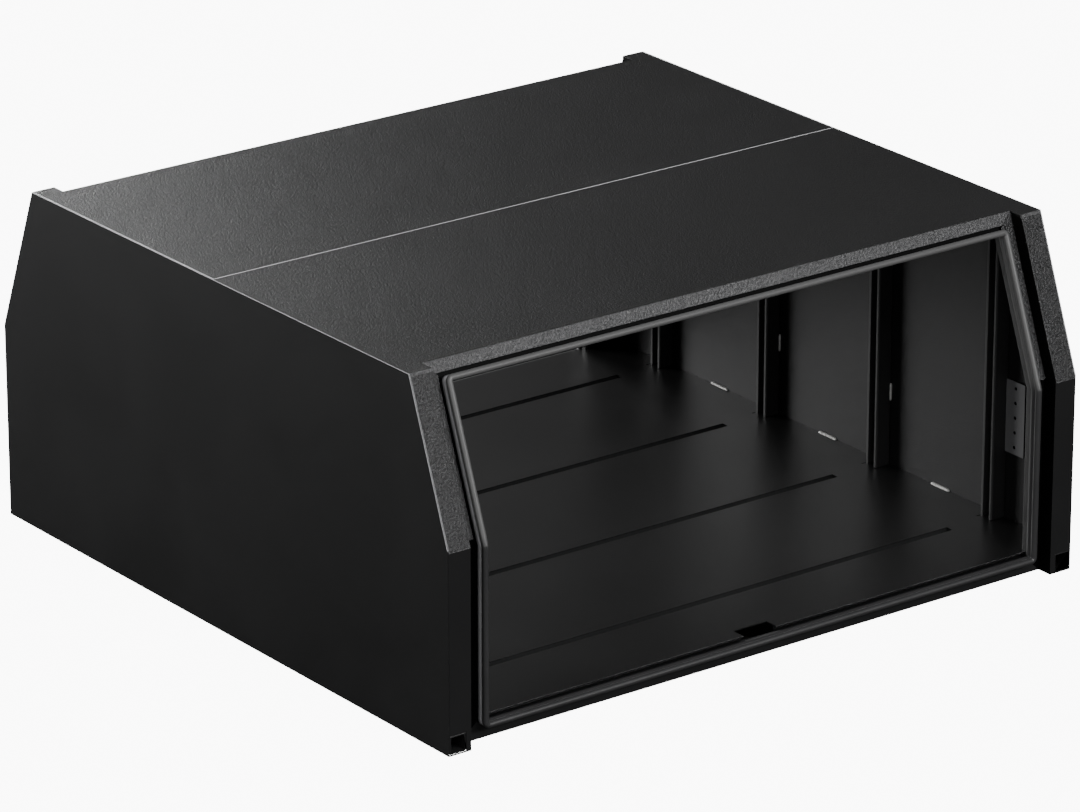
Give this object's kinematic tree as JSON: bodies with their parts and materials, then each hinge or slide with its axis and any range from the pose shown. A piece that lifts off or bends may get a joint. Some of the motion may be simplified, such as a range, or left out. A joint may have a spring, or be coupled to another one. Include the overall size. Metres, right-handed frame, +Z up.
{
  "type": "truck tool box body",
  "caption": "Low black sheet-metal tool box body for a truck tray, with six-sided end walls, a ribbed interior, a slotted floor and two open, sealed door frames.",
  "frame": {"origin": "middle of the footprint, on the surface that the body stands on", "axes": "+X along the door openings, -Y towards the door opening that faces the camera, +Z up"},
  "size_m": [1.804, 1.7882, 0.854],
  "materials": {
    "coat": "textured black powder coat",
    "inner_coat": "satin black powder coat with orange peel",
    "seal": "matt black bulb seal",
    "weld": "dull weld bead"
  },
  "bodies": {
    "root": {"left_end_wall": "coat", "left_base_tube": "coat", "left_rib_1": "inner_coat", "left_rib_2": "inner_coat", "left_rib_3": "inner_coat", "left_rib_4": "inner_coat", "left_floor_weld_1": "weld", "left_floor_weld_2": "weld", "left_floor_weld_3": "weld", "right_end_wall": "coat", "right_base_tube": "coat", "right_rib_1": "inner_coat", "right_rib_2": "inner_coat", "right_rib_3": "inner_coat", "right_rib_4": "inner_coat", "right_floor_weld_1": "weld", "right_floor_weld_2": "weld", "right_floor_weld_3": "weld", "front_left_post": "coat", "front_left_slope_cap": "coat", "front_left_lower_jamb": "coat", "front_left_upper_jamb": "coat", "front_left_strut_bracket": "inner_coat", "front_right_post": "coat", "front_right_slope_cap": "coat", "front_right_lower_jamb": "coat", "front_right_upper_jamb": "coat", "front_right_strut_bracket": "inner_coat", "front_header": "coat", "front_sill": "coat", "front_door_seal": "seal", "front_roof_panel": "coat", "rear_left_post": "coat", "rear_left_slope_cap": "coat", "rear_left_lower_jamb": "coat", "rear_left_upper_jamb": "coat", "rear_left_strut_bracket": "inner_coat", "rear_right_post": "coat", "rear_right_slope_cap": "coat", "rear_right_lower_jamb": "coat", "rear_right_upper_jamb": "coat", "rear_right_strut_bracket": "inner_coat", "rear_header": "coat", "rear_sill": "coat", "rear_door_seal": "seal", "rear_roof_panel": "coat", "floor_channel_1": "inner_coat", "roof_channel_1": "inner_coat", "floor_channel_2": "inner_coat", "roof_channel_2": "inner_coat", "floor_channel_3": "inner_coat", "roof_channel_3": "inner_coat", "floor_channel_4": "inner_coat", "roof_channel_4": "inner_coat", "floor_panel": "inner_coat", "roof_seam_strip": "coat"}
  },
  "joints": []
}
